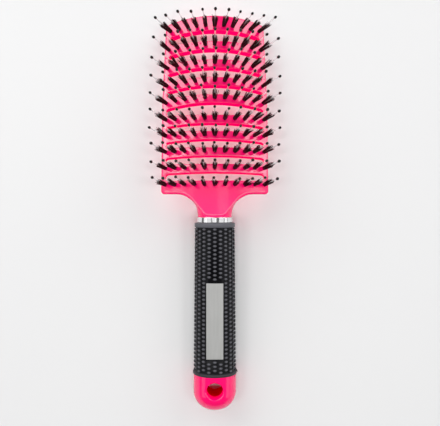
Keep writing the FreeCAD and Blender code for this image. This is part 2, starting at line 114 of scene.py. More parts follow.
# Tufts, pins and tips, as the inputs of their trees
TUFT_HEIGHT, TUFT_SINK = 10.8, 0.6
TUFT = {"Bristles": 72, "Root radius": 1.2, "Sink": TUFT_SINK, "Length": TUFT_HEIGHT + TUFT_SINK,
        "Shortest": 0.88, "Longest": 1.03, "Thickness": 0.14, "Taper": 0.6, "Splay": 0.04,
        "Strands": 3, "Strand lean": 0.06, "Stray": 0.02, "Bend": 0.3, "Seed": 0}
PIN = {"Radius": 0.45, "Taper": 0.85, "Length": 19.4, "Sides": 10, "Lean": 0.035, "Seed": 0}
TIP = {"Radius": 0.92, "Smallest": 0.94, "Largest": 1.08, "Stretch": 1.4, "Length": PIN["Length"],
       "Sides": 14, "Lean": PIN["Lean"], "Seed": 0}
SEEDS_PER_ROW = 100

# Lean of the tufts: fan outward, rake along the handle and drift sideways, and each row's gain on it
LOW_FAN, FAN_GAIN = -0.08, 0.02
LOW_RAKE, RAKE_GAIN = 0.06, -0.0115
LOW_DRIFT, DRIFT_GAIN = -0.005, 0.004

# Grip sleeve, ring, plate and cap
SLEEVE_LOW_RADIUS, SLEEVE_TOP_RADIUS = 13.3, 12.5
SLEEVE_EDGE = 0.5
COLLAR_LENGTH = 2.8
RIM_LENGTH = 1.8
RIM_RADIUS = 13.6
CORE_RADIUS = 10.05
KNOB_COLUMNS = 22
KNOBS_PER_COLUMN = 35
KNOB_STAGGER = 0.5
KNOB_END = 1.1
KNOB_HEIGHT = 0.95
KNOB_HALF_WIDTH, KNOB_HALF_LENGTH = 1.35, 0.88
# Painted highlight on the knobs' tops and the foot rim
KNOB_HIGHLIGHT, RIM_HIGHLIGHT = 1.0, 0.3
RING_RADIUS = 11.0
RING_EDGE = 0.35
RING_BORE = 6.6
PLATE_WIDTH, PLATE_LENGTH, PLATE_THICKNESS, PLATE_EDGE = 10.3, 46.0, 0.8, 0.3
PLATE_FOOT = 33.2
PLATE_SEAT = 11.3
SEAT_GAP = 0.1
PAD_MARGIN, PAD_LIP, PAD_DEPTH, PAD_EDGE = 0.55, 0.25, 1.0, 0.2
PAD_KNOB_GAP = 0.85
CAP_RADIUS = 13.2
CAP_ROUNDING = 11.5
HOLE_RADIUS = 5.0
HOLE_ROUNDING = 1.1

# Moulding flash at the sleeve's foot: radius, station and half thickness of its three corners
FLASH_CORNERS = [(12.6, 26.6, 0.25), (13.0, 23.3, 0.3), (14.3, 22.9, 0.15)]


# Node graphs

def operator(operation, reflected=False):
    """Method that adds an operator's Math node, or its Vector Math node where a vector takes part."""

    def method(self, other):
        left, right = (other, self) if reflected else (self, other)
        vector = any(isinstance(v, Value) and v.socket.type == "VECTOR" for v in (left, right))
        kind = "ShaderNodeVectorMath" if vector else "ShaderNodeMath"
        return self.graph.add(kind, {"operation": operation}, {0: left, 1: right})[0]

    return method


class Value:
    """A node socket that stands on either side of Python's operators."""

    def __init__(self, graph, socket):
        self.graph = graph
        self.socket = socket

    def apply(self, operation):
        """Value of a Math node with one input."""
        return self.graph.add("ShaderNodeMath", {"operation": operation}, {0: self})[0]

    __add__, __radd__ = operator("ADD"), operator("ADD", reflected=True)
    __sub__, __rsub__ = operator("SUBTRACT"), operator("SUBTRACT", reflected=True)
    __mul__, __rmul__ = operator("MULTIPLY"), operator("MULTIPLY", reflected=True)
    __truediv__, __rtruediv__ = operator("DIVIDE"), operator("DIVIDE", reflected=True)
    __mod__, __rmod__ = operator("MODULO"), operator("MODULO", reflected=True)
    __gt__, __lt__ = operator("GREATER_THAN"), operator("LESS_THAN")


class Node:
    """A node whose outputs are read as values, by name or number."""

    def __init__(self, graph, node):
        self.graph = graph
        self.node = node

    def __getitem__(self, key):
        return Value(self.graph, pick(self.node.outputs, key))


def pick(sockets, key):
    """Socket by number, or the one in use that has a name."""
    if isinstance(key, int):
        return sockets[key]
    return next(socket for socket in sockets if socket.name == key and socket.enabled)


class Graph:
    """A node tree that is written node by node."""

    def __init__(self, tree):
        self.tree = tree

    def add(self, kind, settings=None, inputs=None):
        node = self.tree.nodes.new(kind)
        for name, setting in (settings or {}).items():
            setattr(node, name, setting)
        for key, value in (inputs or {}).items():
            self.feed(pick(node.inputs, key), value)
        return Node(self, node)

    def feed(self, socket, value):
        if isinstance(value, Value):
            self.tree.links.new(value.socket, socket)
        elif socket.type == "VECTOR" and isinstance(value, (int, float)):
            socket.default_value = (value, value, value)
        else:
            socket.default_value = value


def vector_of(graph, x=0.0, y=0.0, z=0.0):
    """Vector of three values or numbers."""
    return graph.add("ShaderNodeCombineXYZ", None, {"X": x, "Y": y, "Z": z})["Vector"]


def part_of(graph, vector, axis):
    """Part of a vector along one axis."""
    return graph.add("ShaderNodeSeparateXYZ", None, {"Vector": vector})[axis]


# Materials

def surface(name, **constants):
    """New material with a principled shader: its graph, the shader's inputs and its coordinates."""
    material = bpy.data.materials.new(name)
    material.use_nodes = True
    graph = Graph(material.node_tree)
    inputs = material.node_tree.nodes["Principled BSDF"].inputs
    for socket, value in constants.items():
        inputs[socket.replace("_", " ")].default_value = value
    place = graph.add("ShaderNodeTexCoord")["Object"]
    return material, graph, inputs, place


def noise(graph, place, scale, detail, stretch=(1, 1, 1)):
    """Fractal noise over the object, finer or coarser along each axis."""
    mapped = graph.add("ShaderNodeMapping", None, {"Vector": place, "Scale": stretch})["Vector"]
    return graph.add("ShaderNodeTexNoise", None,
                     {"Vector": mapped, "Scale": scale, "Detail": detail})["Fac"]


def blend(graph, share, low, high):
    """Colour between two colours."""
    low, high = [colour if isinstance(colour, Value) else (*colour, 1) for colour in (low, high)]
    return graph.add("ShaderNodeMix", {"data_type": "RGBA"},
                     {"Factor": share, "A": low, "B": high})["Result"]


def mark(graph, name):
    """Share that a piece's points carry under a name."""
    return graph.add("ShaderNodeAttribute", {"attribute_name": name})["Fac"]


def bump(graph, height, strength, distance):
    return graph.add("ShaderNodeBump", None,
                     {"Height": height, "Strength": strength, "Distance": distance})["Normal"]


def pink_abs():
    """Glossy hot pink plastic with flow clouds, a slight orange peel and a polished vented face.

    The walls of the vents and of the hang hole are matt: the vents' carry a painted glow, and the
    hole's darkens inward with painted shade to dark red. The shield's bead carries a painted
    highlight, and the whole plastic a faint painted red glow."""
    polish_start, polish_full = 0.014, 0.022
    material, graph, inputs, place = surface(
        "pink_abs", IOR=1.5, Coat_IOR=1.8, Coat_Roughness=0.05, Emission_Strength=1.0)
    flow = noise(graph, place, scale=35, detail=3, stretch=(1, 0.4, 1))
    pigment = blend(graph, flow, (0.98, 0.0005, 0.130), (1.0, 0.001, 0.155))
    polish = graph.add("ShaderNodeMapRange", None, {
        "Value": part_of(graph, place, "Y"), "From Min": polish_start, "From Max": polish_full,
        "To Min": 0.15, "To Max": 1.0})["Result"]
    peel = noise(graph, place, scale=420, detail=1)
    # Painted highlight: the shield's bead is painted paler.
    graph.feed(inputs["Base Color"], blend(graph, mark(graph, "painted_highlight"), pigment, (1.0, 0.30, 0.42)))
    # Painted glow: a faint red emission over the whole plastic keeps it bright in its shadows.
    graph.feed(inputs["Emission Color"], blend(graph, flow, (0.06, 0.0, 0.008), (0.08, 0.0, 0.012)))
    graph.feed(inputs["Coat Weight"], polish)
    graph.feed(inputs["Roughness"], noise(graph, place, scale=260, detail=2) * 0.08 + 0.13)
    graph.feed(inputs["Normal"], bump(graph, peel, strength=0.04, distance=0.0002))
    # Matt walls: the vents' walls glow with painted light, and the hang hole's wall darkens inward with
    # painted shade to a dark red.
    shade = mark(graph, "shade")
    matt = graph.add("ShaderNodeBsdfPrincipled", None, {
        "Base Color": blend(graph, shade, pigment, (0.55, 0.0, 0.004)), "Roughness": 0.8,
        "Specular IOR Level": 0.0, "Emission Strength": 1.0,
        "Emission Color": blend(graph, shade, (0.40, 0.0, 0.06), (0.08, 0.0, 0.0))})["BSDF"]
    gloss = Value(graph, material.node_tree.nodes["Principled BSDF"].outputs["BSDF"])
    whole = graph.add("ShaderNodeMixShader", None,
                      {0: mark(graph, "wall"), 1: gloss, 2: matt})["Shader"]
    graph.feed(material.node_tree.nodes["Material Output"].inputs["Surface"], whole)
    return material


def black_rubber():
    """Soft matt rubber, slightly dusty, with a fine grain.

    The collar, the foot rim and the knobs' tops are painted paler as a highlight."""
    dust_share = 0.06
    material, graph, inputs, place = surface("black_rubber", IOR=1.27)
    dust = noise(graph, place, scale=120, detail=4)
    grain = noise(graph, place, scale=2600, detail=2)
    # Real dust, and a painted highlight on the collar, the foot rim and the knobs' tops.
    shade = dust * dust_share + mark(graph, "painted_highlight") * (1 - dust_share)
    graph.feed(inputs["Base Color"], blend(graph, shade, (0.001, 0.001, 0.002), (0.115, 0.115, 0.130)))
    graph.feed(inputs["Roughness"], dust * 0.2 + 0.34)
    graph.feed(inputs["Normal"], bump(graph, grain, strength=0.12, distance=0.0001))
    return material


def mottled(name, scale, detail, dark, pale, roughness, spread, stretch=(1, 1, 1), relief=0.0,
            **constants):
    """Material whose colour, roughness and slight relief follow one noise."""
    material, graph, inputs, place = surface(name, **constants)
    cloud = noise(graph, place, scale, detail, stretch)
    graph.feed(inputs["Base Color"], blend(graph, cloud, dark, pale))
    graph.feed(inputs["Roughness"], cloud * spread + roughness)
    if relief:
        graph.feed(inputs["Normal"], bump(graph, cloud, strength=relief, distance=0.0001))
    return material


def bright_chrome():
    """Mirror plating with faint rubbing marks round the ring."""
    return mottled("bright_chrome", scale=90, detail=3, stretch=(0.3, 8, 0.3), Metallic=1.0,
                   dark=(0.78, 0.78, 0.79), pale=(0.88, 0.88, 0.88), roughness=0.05, spread=0.08)


def silver_plate():
    """Satin silver plate, brushed along the handle."""
    return mottled("silver_plate", scale=900, detail=3, stretch=(1, 0.02, 1), relief=0.05,
                   Metallic=0.35, dark=(0.40, 0.40, 0.39), pale=(0.49, 0.49, 0.48),
                   roughness=0.36, spread=0.15)


def boar_bristle():
    """Dark natural bristle, from near black to deep brown."""
    return mottled("boar_bristle", scale=700, detail=3, IOR=1.35,
                   dark=(0.008, 0.001, 0.002), pale=(0.040, 0.008, 0.010), roughness=0.5, spread=0.2)


def clear_nylon():
    """Milky translucent nylon."""
    return mottled("clear_nylon", scale=200, detail=2, IOR=1.53, Alpha=0.35,
                   dark=(0.88, 0.86, 0.86), pale=(0.96, 0.94, 0.94), roughness=0.22, spread=0.15)


def black_tips():
    """Glossy black of the pins' tips."""
    return mottled("black_tips", scale=900, detail=2, IOR=1.5,
                   dark=(0.004, 0.004, 0.004), pale=(0.012, 0.011, 0.011), roughness=0.18, spread=0.12)


def core_abs():
    """Dark moulded core, out of sight in the sleeve."""
    return mottled("core_abs", scale=60, detail=3, IOR=1.5,
                   dark=(0.04, 0.04, 0.045), pale=(0.06, 0.06, 0.065), roughness=0.4, spread=0.2)


def anchor_wire():
    """Plain drawn wire of the tuft anchors."""
    return mottled("anchor_wire", scale=800, detail=2, Metallic=1.0,
                   dark=(0.50, 0.48, 0.44), pale=(0.62, 0.60, 0.56), roughness=0.25, spread=0.2)


def pale_floor():
    """Plain pale table top."""
    return mottled("pale_floor", scale=3, detail=2,
                   dark=(0.695, 0.695, 0.70), pale=(0.725, 0.725, 0.725), roughness=0.6, spread=0.1)


MATERIALS = {make.__name__: make() for make in (
    pink_abs, black_rubber, bright_chrome, silver_plate, boar_bristle, clear_nylon, black_tips,
    core_abs, anchor_wire, pale_floor)}


# Shared shapes

def show(name, mesh, material, *nodes):
    """Lays a mesh from the handle frame on the floor as the piece shown for some CAD nodes."""
    mesh.transform(LAY)
    mesh.materials.clear()
    mesh.materials.append(MATERIALS[material])
    piece = bpy.data.objects.new(name, mesh)
    scene.collection.objects.link(piece)
    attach(piece, "root")
    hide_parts(*nodes)


def mesh_of(name, points, faces, smooth=True, **marks):
    """Closed mesh with its faces turned outward, and marks that its points carry."""
    mesh = bpy.data.meshes.new(name)
    mesh.from_pydata([tuple(p) for p in points], [], faces)
    for title, shares in marks.items():
        attribute = mesh.attributes.new(title, "FLOAT", "POINT")
        attribute.data.foreach_set("value", np.array(shares, np.float32))
    edit = bmesh.new()
    edit.from_mesh(mesh)
    bmesh.ops.remove_doubles(edit, verts=edit.verts, dist=1e-4)
    bmesh.ops.dissolve_degenerate(edit, edges=edit.edges, dist=1e-5)
    bmesh.ops.recalc_face_normals(edit, faces=edit.faces)
    edit.to_mesh(mesh)
    edit.free()
    if smooth:
        mesh.shade_smooth()
    return mesh


def joined(name, meshes):
    """One mesh of several."""
    edit = bmesh.new()
    for mesh in meshes:
        edit.from_mesh(mesh)
    whole = bpy.data.meshes.new(name)
    edit.to_mesh(whole)
    edit.free()
    return whole


def band(low, high, count):
    """Faces between two closed loops of points, each given by the number of its first point."""
    return [(low + n, low + (n + 1) % count, high + (n + 1) % count, high + n) for n in range(count)]


def unit(vector):
    return vector / np.linalg.norm(vector)


def corner_arc(corner, back, ahead, radius, steps=6):
    """Points of the arc that rounds a corner between the directions back along it and ahead."""
    back, ahead = unit(np.array(back, float)), unit(np.array(ahead, float))
    half = math.acos(float(np.clip(back @ ahead, -1, 1))) / 2
    middle = np.array(corner) + unit(back + ahead) * radius / math.sin(half)
    start = np.array(corner) + back * radius / math.tan(half) - middle
    end = np.array(corner) + ahead * radius / math.tan(half) - middle
    low = math.atan2(start[1], start[0])
    sweep = math.atan2(start[0] * end[1] - start[1] * end[0], start @ end)
    angles = low + sweep * np.linspace(0, 1, steps + 1)
    return middle + radius * np.column_stack([np.cos(angles), np.sin(angles)])


def spaced(start, end, step):
    """Points from a start to an end, about a step apart, both ends left out."""
    start, end = np.array(start, float), np.array(end, float)
    count = max(1, round(np.linalg.norm(end - start) / step))
    return start + (end - start) * (np.arange(1, count) / count)[:, None]


def spline(points, steps):
    """Smooth curve through a few points, each stretch between two of them in some steps."""
    points = np.array(points, float)
    padded = np.vstack([2 * points[0] - points[1], points, 2 * points[-1] - points[-2]])
    share = (np.arange(steps) / steps)[:, None]
    runs = []
    for a, b, c, d in zip(padded, padded[1:], padded[2:], padded[3:]):
        runs.append(b + 0.5 * share * (c - a + share * (2 * a - 5 * b + 4 * c - d
                    + share * (3 * (b - c) + d - a))))
    return np.vstack(runs + [points[-1:]])


def inset(loop, distance):
    """Closed loop moved to its left by a distance."""
    ahead = np.roll(loop, -1, axis=0) - loop
    ahead /= np.linalg.norm(ahead, axis=1)[:, None]
    left = np.column_stack([-ahead[:, 1], ahead[:, 0]])
    middle = left + np.roll(left, 1, axis=0)
    middle /= np.linalg.norm(middle, axis=1)[:, None]
    return loop + middle * (distance / (middle * left).sum(axis=1))[:, None]


def inside(points, loops):
    """Whether each point is within the region that an outline and its holes bound."""
    tiny = 1e-12
    crossings = np.zeros(len(points), int)
    for loop in loops:
        for a, b in zip(loop, np.roll(loop, -1, axis=0)):
            spans = (a[1] > points[:, 1]) != (b[1] > points[:, 1])
            if spans.any():
                at = a[0] + (points[:, 1] - a[1]) / (b[1] - a[1] + tiny) * (b[0] - a[0])
                crossings += spans & (points[:, 0] < at)
    return crossings % 2 == 1


def clearance(points, others):
    """Distance of each point from the nearest of some others."""
    batch = 500
    found = np.empty(len(points))
    for n in range(0, len(points), batch):
        gaps = points[n:n + batch, None, :] - others[None, :, :]
        found[n:n + batch] = np.sqrt((gaps ** 2).sum(axis=2).min(axis=1))
    return found


class Rim:
    """Edge of a plan shape: its loops from the edge into the material and the rounding's drop at each.

    Wall and shade are marks of its wall, at the front and the back edge: wall makes it matt with a
    painted glow, and shade turns that to a painted dark red shade."""

    def __init__(self, loop, rounding, steps=5, hole=False, extra=(), shade=(0, 0)):
        turns = np.linspace(math.pi / 2, 0, steps + 1)
        depths = list(rounding * (1 - np.sin(turns))) + list(extra)
        self.drops = list(rounding * (1 - np.cos(turns))) + [0.0] * len(extra)
        self.loops = [inset(loop, -depth if hole else depth) for depth in depths]
        self.edge = loop
        self.marks = {"wall": (int(hole), int(hole)), "shade": shade}


def plan_solid(name, rims, filling, front, back, highlight_at=None):
    """Solid over a plan shape between a front and a back height, with rounded rims.

    The first rim is the outline and the others are holes. Front and back take plan points and the
    rounding's drop and give points in space. Highlight_at gives the share of the front's painted
    highlight at plan points."""
    all_triangles, tolerance = 0, 1e-7
    plan, drops, faces, walls, inner = [], [], [], [], []
    start = 0
    for rim in rims:
        count = len(rim.edge)
        walls.append((start, count))
        for level, (loop, drop) in enumerate(zip(rim.loops, rim.drops)):
            plan.append(loop)
            drops.append(np.full(count, drop))
            if level:
                faces += band(start, start + count, count)
                start += count
        inner.append((start, count))
        start += count
    plan, drops = np.vstack(plan + [filling]), np.concatenate(drops + [np.zeros(len(filling))])
    lower = len(plan)

    used = [n for first, count in inner for n in range(first, first + count)]
    used += list(range(start, lower))
    local = {n: i for i, n in enumerate(used)}
    edges = [(local[first + n], local[first + (n + 1) % count])
             for first, count in inner for n in range(count)]
    points, _, triangles, origins, _, _ = delaunay_2d_cdt(
        [Vector(plan[n]) for n in used], edges, [], all_triangles, tolerance)
    middles = np.array([sum((points[i] for i in t), Vector((0, 0))) / 3 for t in triangles])
    for triangle, keep in zip(triangles, inside(middles, [rim.loops[-1] for rim in rims])):
        if keep:
            faces.append(tuple(used[origins[i][0]] for i in triangle))

    solid = faces + [tuple(lower + n for n in reversed(face)) for face in faces]
    marks = {title: np.zeros(2 * lower) for title in ("wall", "shade", "painted_highlight")}
    if highlight_at:
        marks["painted_highlight"][:lower] = highlight_at(plan)
    for rim, (first, count) in zip(rims, walls):
        solid += band(first, lower + first, count)
        for title, (at_front, at_back) in rim.marks.items():
            marks[title][first:first + count] = at_front
            marks[title][lower + first:lower + first + count] = at_back
    return mesh_of(name, np.vstack([front(plan, drops), back(plan, drops)]), solid, **marks)


def grid(low, high, step):
    """Plan points on a grid, every second line set over by half a step."""
    across = np.arange(low[0], high[0], step)
    up = np.arange(low[1], high[1], step)
    x, y = np.meshgrid(across, up)
    x[1::2] += step / 2
    return np.column_stack([x.ravel(), y.ravel()])


def filled(points, margin, rims):
    """The points that lie inside some rims, further from them than a margin."""
    bounds = [rim.loops[-1] for rim in rims]
    return points[inside(points, bounds) & (clearance(points, np.vstack(bounds)) > margin)]


def lathe(name, profile, sides):
    """Closed ring turned round the handle's axis from a closed profile of radius and station."""
    angles = 2 * math.pi * np.arange(sides) / sides
    points = [(r * math.cos(a), y, r * math.sin(a)) for r, y in profile for a in angles]
    faces = []
    for k in range(len(profile)):
        faces += band(k * sides, (k + 1) % len(profile) * sides, sides)
    return mesh_of(name, points, faces)


def rounded_top(radius, top, edge, steps):
    """Profile of a turned piece's rounded upper edge, from its wall to its top face."""
    turns = np.linspace(0, math.pi / 2, steps + 1)
    return [(radius - edge * (1 - math.cos(t)), top - edge * (1 - math.sin(t))) for t in turns]


def block(name, low, high, edge):
    """Flat-faced box whose upper edges are rounded in two bevels."""
    (x0, y0, z0), (x1, y1, z1) = low, high
    break_depth = 0.3 * edge
    rings = [(0, z0), (0, z1 - edge), (break_depth, z1 - break_depth), (edge, z1)]
    points = []
    for d, z in rings:
        points += [(x0 + d, y0 + d, z), (x1 - d, y0 + d, z), (x1 - d, y1 - d, z), (x0 + d, y1 - d, z)]
    faces = [(3, 2, 1, 0), (12, 13, 14, 15)]
    for first in (0, 4, 8):
        faces += band(first, first + 4, 4)
    return mesh_of(name, points, faces, smooth=False)


# Head

def bend_reach(x, crown=CROWN_RADIUS):
    """Distance of the head's front face from the axis that it bends round."""
    return BEND_RADIUS - CROWN_RADIUS + np.sqrt(crown ** 2 - np.minimum(np.abs(x), crown) ** 2)


def front_height(x, y, crown=CROWN_RADIUS):
    """Height of the head's front face, or of its back face with the crown radius less its thickness."""
    return BEND_HEIGHT + np.sqrt(bend_reach(x, crown) ** 2 - (y - BEND_STATION) ** 2)


class Row:
    """A row of tufts: its station, arch, span and lean, and the lines of its bar's two edges."""

    def __init__(self, place, station):
        climb = max(0, place + 1 - LOWER_ROWS) / (ROW_COUNT - LOWER_ROWS)
        self.number = ROW_COUNT - place
        self.fan = LOW_FAN + FAN_GAIN * place
        self.rake = LOW_RAKE + RAKE_GAIN * place
        self.drift = LOW_DRIFT + DRIFT_GAIN * place
        self.station = station
        self.arch = UPPER_ROW_ARCH if climb else 0.0
        self.span = LOW_ROW_SPAN - (LOW_ROW_SPAN - TOP_ROW_SPAN) * climb ** 2
        self.bar_below = UPPER_BAR_BELOW if climb else LOWER_BAR_BELOW
        self.foot_arch = UPPER_FOOT_ARCH if climb else FIRST_FOOT_ARCH + FOOT_ARCH_GAIN * (place - 1)

    def line(self, across, offset=0.0):
        """Station of a line that follows the row's arch."""
        return self.station + offset - self.arch * (2 * across / self.span) ** 2

    def bar_top(self, across):
        return self.line(across, BAR_ABOVE)

    def bar_foot(self, across):
        return self.line(across, -self.bar_below) - self.foot_arch * (2 * across / self.span) ** 2


def lay_out_rows():
    """Rows from the shoulders up: even below, then a wider step for the crescent and widening ones."""
    steps = [LOWER_PITCH] * (LOWER_ROWS - 1) + [CRESCENT_PITCH]
    steps += [UPPER_PITCH + UPPER_PITCH_GAIN * n for n in range(ROW_COUNT - LOWER_ROWS - 1)]
    stations = FIRST_ROW + np.cumsum([0.0] + steps)
    return [Row(place, station) for place, station in enumerate(stations)]


def vent_loop(below, above):
    """Outline of the vent between two rows, with rounded corners."""
    half = (below.span + above.span) / 4 - VENT_END_INSET
    nudge, points_along, side_step = 0.5, 54, 0.9

    def edge(up, across):
        return below.bar_top(across) if up > 0 else above.bar_foot(across)

    def corner(side, up):
        slope = (-side * nudge, edge(up, side * (half - nudge)) - edge(up, side * half))
        return corner_arc((side * half, edge(up, side * half)), slope, (0, up), VENT_CORNER)

    def run(up, start, end):
        across = np.linspace(start, end, points_along)[1:-1]
        return np.column_stack([across, edge(up, across)])

    low_left, low_right, high_right, high_left = [
        corner(side, up) for side, up in ((-1, 1), (1, 1), (1, -1), (-1, -1))]
    return np.vstack([
        run(1, low_left[0][0], low_right[0][0]), low_right,
        spaced(low_right[-1], high_right[-1], side_step), high_right[::-1],
        run(-1, high_right[0][0], high_left[0][0]), high_left,
        spaced(high_left[-1], low_left[-1], side_step), low_left[::-1],
    ])


def head_outline():
    """Right half of the head's outline from the ring up to the top, then mirrored."""
    shoulder_step, side_step, neck_step, arch_points = 1.0, 1.3, 1.5, 26
    collar_top = NECK_LINE[1][1]
    neck = spline(NECK_LINE, steps=6)
    neck = neck[(neck[:, 1] <= NECK) | (neck[:, 1] >= collar_top)]
    shoulder = corner_arc((HEAD_HALF_WIDTH, SHOULDER), (-1, 0), (0, 1), SHOULDER_CORNER)
    arch_centre = HEAD_TOP - TOP_ARCH_RADIUS
    corner_lean = math.asin(HEAD_TOP_HALF_WIDTH / TOP_ARCH_RADIUS)
    corner_station = arch_centre + TOP_ARCH_RADIUS * math.cos(corner_lean)
    top_corner = corner_arc((HEAD_TOP_HALF_WIDTH, corner_station), (0, -1),
                            (-math.cos(corner_lean), math.sin(corner_lean)), TOP_CORNER)
    waist = (HEAD_HALF_WIDTH, TAPER_STATION)
    arch_end = math.asin(top_corner[-1][0] / TOP_ARCH_RADIUS)
    leans = np.linspace(arch_end, 0, arch_points)[1:]
    arch = np.column_stack([TOP_ARCH_RADIUS * np.sin(leans),
                            arch_centre + TOP_ARCH_RADIUS * np.cos(leans)])
    right = np.vstack([neck, spaced(neck[-1], shoulder[0], shoulder_step), shoulder,
                       spaced(shoulder[-1], waist, side_step), [waist],
                       spaced(waist, top_corner[0], side_step), top_corner, arch])
    left = right[-2::-1] * (-1, 1)
    return np.vstack([right, left, spaced(left[-1], right[0], neck_step)])


NECK_CURVE = spline(NECK_LINE, steps=12)


def funnel_height(x, y, side):
    """Front (side 1) or back (side -1) height of the funnel between the ring and the shoulders."""
    half_width = np.interp(y, NECK_CURVE[:, 1], NECK_CURVE[:, 0])
    half_depth = np.interp(y, FUNNEL_STATIONS, FUNNEL_HALF_DEPTHS)
    height = np.interp(y, FUNNEL_STATIONS, FUNNEL_HEIGHTS)
    power = np.interp(y, FUNNEL_STATIONS, FUNNEL_SQUARENESS)
    share = np.clip(np.abs(x) / half_width, 0, 1) ** power
    return height + side * half_depth * (1 - share) ** (1 / power)


def soft_lower(a, b, width):
    """The lower of two heights, with the crease between them rounded."""
    share = np.clip(0.5 + 0.5 * (b - a) / width, 0, 1)
    return b + (a - b) * share - width * share * (1 - share)


def head_filling(rims):
    """Points inside the head's rims, close together over the funnel and wider apart on the plate."""
    fine_foot, fine_top = NECK + 1, 136
    fine_step, coarse_step = 0.34, 1.2
    fine_margin, coarse_margin = 0.2, 0.55
    reach = math.ceil(HEAD_HALF_WIDTH)
    points = np.vstack([grid((-reach, fine_top), (reach, HEAD_TOP), coarse_step),
                        grid((-reach, fine_foot), (reach, fine_top), fine_step)])
    return filled(points, np.where(points[:, 1] > fine_top, coarse_margin, fine_margin), rims)


def make_head(rows):
    """Vented plate with its shoulders and the funnel down to the ring, in one piece.

    Front and back are each the lower of the plate's and the funnel's height. By the ring the plate's
    front is lifted out of the way, and above the shoulders the funnel's back fades into the plate's."""
    collar_top, collar_run, collar_lift = 120.3, 0.5, 4
    edge_run, level_run, neck_slope = 3, 1, 3
    fade_run, fade_gap = 6, 0.7
    out_of_reach, support_depth = 10, 1.3
    outline = head_outline()
    shield = spline(SHIELD_LINE, steps=24)
    vents = [vent_loop(below, above) for below, above in zip(rows, rows[1:])]
    rims = [Rim(outline, OUTLINE_ROUNDING, extra=(support_depth,))]
    # Vent walls are marked matt, where the plastic carries a painted glow.
    rims += [Rim(loop, VENT_ROUNDING, steps=4, hole=True) for loop in vents]

    def bead(plan):
        """Share of the shield's bead at plan points of either half."""
        gap = clearance(np.abs(plan), shield)
        return np.exp(-(gap / SHIELD_HALF_WIDTH) ** 2)

    # Painted highlight along the shield's bead.
    def highlight_at(plan):
        return SHIELD_HIGHLIGHT * bead(plan)

    def front(plan, drops):
        x, y = plan.T
        lift = collar_lift * np.clip((collar_top - y) / collar_run, 0, 1) ** 2
        plate = front_height(x, y) - drops + lift
        funnel = np.where(y < SHOULDER, funnel_height(x, y, 1), plate + out_of_reach)
        face = soft_lower(plate, funnel, FUNNEL_CREASE)
        return np.column_stack([x, y, face + SHIELD_HEIGHT * bead(plan)])

    def back(plan, drops):
        x, y = plan.T
        hold = np.clip(clearance(plan, outline) / edge_run, 0, 1)
        slope = (y - BEND_STATION) / BEND_RADIUS
        lower_y = y - HEAD_THICKNESS * slope * hold * (y > SHOULDER + level_run)
        plate = front_height(x, lower_y, CROWN_RADIUS - HEAD_THICKNESS) + drops
        plate += neck_slope * np.clip(SHOULDER - y, 0, None)
        funnel = np.where(y < SHOULDER + fade_run, funnel_height(x, np.minimum(y, SHOULDER), -1),
                          plate + out_of_reach)
        fade = np.clip((y - SHOULDER) / fade_run, 0, 1)
        funnel = funnel + (plate - funnel + fade_gap) * fade * fade * (3 - 2 * fade)
        return np.column_stack([x, lower_y, soft_lower(plate, funnel, FUNNEL_CREASE)])

    moulding = plan_solid("head_frame_moulding", rims, head_filling(rims), front, back, highlight_at)
    show("head_frame_moulding", moulding, "pink_abs", "head_frame")


# Tufts, pins and ball tips

def geometry_graph(name, sizes):
    """Geometry tree with a named input for each size; gives its graph and inputs."""
    tree = bpy.data.node_groups.new(name, "GeometryNodeTree")
    tree.interface.new_socket("Geometry", in_out="INPUT", socket_type="NodeSocketGeometry")
    tree.interface.new_socket("Geometry", in_out="OUTPUT", socket_type="NodeSocketGeometry")
    for size, value in sizes.items():
        kind = "NodeSocketInt" if isinstance(value, int) else "NodeSocketFloat"
        tree.interface.new_socket(size, in_out="INPUT", socket_type=kind)
    graph = Graph(tree)
    return graph, graph.add("NodeGroupInput")


def close_graph(graph, geometry, material):
    """Realizes the instances, gives them their material and ends the tree."""
    real = graph.add("GeometryNodeRealizeInstances", None, {"Geometry": geometry})["Geometry"]
    smooth = graph.add("GeometryNodeSetShadeSmooth", None, {"Geometry": real})["Geometry"]
    dressed = graph.add("GeometryNodeSetMaterial", None,
                        {"Geometry": smooth, "Material": MATERIALS[material]})["Geometry"]
    graph.add("NodeGroupOutput", None, {"Geometry": dressed})
    return graph.tree


def grow(seats, tree, sizes):
    """Plain mesh of a geometry tree run on a mesh of seats."""
    holder = bpy.data.objects.new(tree.name, seats)
    scene.collection.objects.link(holder)
    modifier = holder.modifiers.new(tree.name, "NODES")
    modifier.node_group = tree
    for item in tree.interface.items_tree:
        if item.in_out == "INPUT" and item.name in sizes:
            modifier[item.identifier] = sizes[item.name]
    graph = bpy.context.evaluated_depsgraph_get()
    mesh = bpy.data.meshes.new_from_object(holder.evaluated_get(graph))
    bpy.data.objects.remove(holder)
    return mesh


# Limits of a random vector
LEAST, MOST = (-1, -1, -1), (1, 1, 1)


def random(graph, low, high, seed, index):
    """Random number, or vector where the limits are vectors."""
    kind = "FLOAT_VECTOR" if isinstance(low, tuple) else "FLOAT"
    return graph.add("FunctionNodeRandomValue", {"data_type": kind},
                     {"Min": low, "Max": high, "ID": index, "Seed": seed})["Value"]


def index_of(graph):
    return graph.add("GeometryNodeInputIndex")["Index"]


def stored(graph, name, kind):
    """Attribute that the points carry under a name."""
    return graph.add("GeometryNodeInputNamedAttribute", {"data_type": kind}, {"Name": name})["Attribute"]


def height_of(graph):
    """Height of the points of a shape that still stands at the origin."""
    return part_of(graph, graph.add("GeometryNodeInputPosition")["Position"], "Z")


def along(graph, direction):
    """Rotation that turns Z along a direction."""
    return graph.add("FunctionNodeAlignRotationToVector", {"axis": "Z"},
                     {"Vector": direction})["Rotation"]


def seat_points(graph, inputs):
    return graph.add("GeometryNodeMeshToPoints", None, {"Mesh": inputs["Geometry"]})["Points"]


def moved(graph, geometry, offset):
    return graph.add("GeometryNodeSetPosition", None,
                     {"Geometry": geometry, "Offset": offset})["Geometry"]


